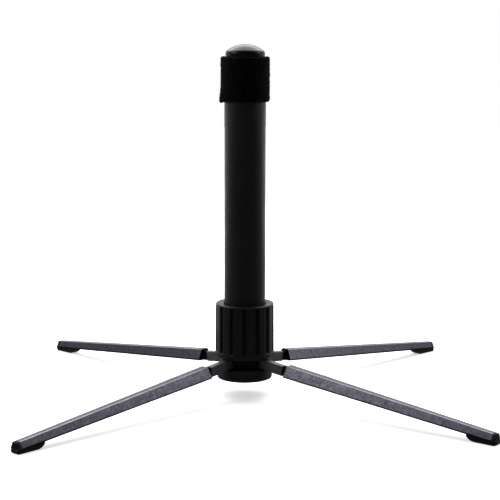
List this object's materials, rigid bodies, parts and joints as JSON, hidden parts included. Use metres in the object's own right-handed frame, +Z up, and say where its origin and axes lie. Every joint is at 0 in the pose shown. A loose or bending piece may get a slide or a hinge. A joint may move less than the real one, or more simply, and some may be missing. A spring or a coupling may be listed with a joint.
{
  "type": "trumpet stand",
  "caption": "Folding wind instrument stand: an upright tube with a fuzzy band and domed cap, screwed by a ribbed collar to a hub with channel legs that fold up.",
  "frame": {"origin": "on the floor, under the middle of the peg", "axes": "+Z up along the peg; the front legs are towards -Y, the right legs towards +X"},
  "size_m": [0.3292, 0.319, 0.2666],
  "materials": {
    "tube_paint": "fine matte black powder coat",
    "fuzzy_band": "black fuzzy loop pile",
    "gloss_cap": "glossy black moulded plastic",
    "black_nylon": "black nylon",
    "collar_plastic": "satin black moulded plastic",
    "hub_plastic": "satin black moulded nylon",
    "screw_steel": "zinc-plated steel",
    "pin_steel": "bright steel",
    "link_plate": "dark plated steel, satin",
    "channel_nickel": "black nickel plate, satin, with fine drawing marks",
    "rubber": "matte black rubber"
  },
  "bodies": {
    "base": {"hub_core": "hub_plastic", "base_cover": "hub_plastic", "hub_screw": "screw_steel", "front_right_pin": "pin_steel", "back_right_pin": "pin_steel", "back_left_pin": "pin_steel", "front_left_pin": "pin_steel"},
    "peg": {"peg_tube": "tube_paint", "tube_flange": "black_nylon", "felt_band": "fuzzy_band", "top_cap": "gloss_cap"},
    "collar": {"ribbed_collar": "collar_plastic"},
    "front_right_leg": {"front_right_link": "link_plate", "front_right_channel": "channel_nickel", "front_right_rivets": "channel_nickel", "front_right_foot": "rubber"},
    "back_right_leg": {"back_right_link": "link_plate", "back_right_channel": "channel_nickel", "back_right_rivets": "channel_nickel", "back_right_foot": "rubber"},
    "back_left_leg": {"back_left_link": "link_plate", "back_left_channel": "channel_nickel", "back_left_rivets": "channel_nickel", "back_left_foot": "rubber"},
    "front_left_leg": {"front_left_link": "link_plate", "front_left_channel": "channel_nickel", "front_left_rivets": "channel_nickel", "front_left_foot": "rubber"}
  },
  "joints": [
    {"name": "peg_lift", "type": "slide", "parent": "base", "child": "peg", "axis": [0, 0, 1], "range_m": [0, 0.24]},
    {"name": "collar_twist", "type": "hinge", "parent": "peg", "child": "collar", "pos_m": [0, 0, 0.05], "axis": [0, 0, 1], "continuous": true},
    {"name": "front_right_fold", "type": "hinge", "parent": "base", "child": "front_right_leg", "pos_m": [0.00672, -0.00584, 0.02695], "axis": [-0.6561, -0.7547, 0], "range_deg": [0, 96.56]},
    {"name": "back_right_fold", "type": "hinge", "parent": "base", "child": "back_right_leg", "pos_m": [0.00672, 0.00584, 0.02695], "axis": [0.6561, -0.7547, 0], "range_deg": [0, 96.56]},
    {"name": "back_left_fold", "type": "hinge", "parent": "base", "child": "back_left_leg", "pos_m": [-0.00629, 0.00629, 0.02695], "axis": [0.7071, 0.7071, 0], "range_deg": [0, 96.56]},
    {"name": "front_left_fold", "type": "hinge", "parent": "base", "child": "front_left_leg", "pos_m": [-0.00629, -0.00629, 0.02695], "axis": [-0.7071, 0.7071, 0], "range_deg": [0, 96.56]}
  ],
  "couplings": [
    {"joint": "front_right_fold", "follows": "peg_lift", "rad_per_m": 7.022},
    {"joint": "back_right_fold", "follows": "peg_lift", "rad_per_m": 7.022},
    {"joint": "back_left_fold", "follows": "peg_lift", "rad_per_m": 7.022},
    {"joint": "front_left_fold", "follows": "peg_lift", "rad_per_m": 7.022}
  ]
}
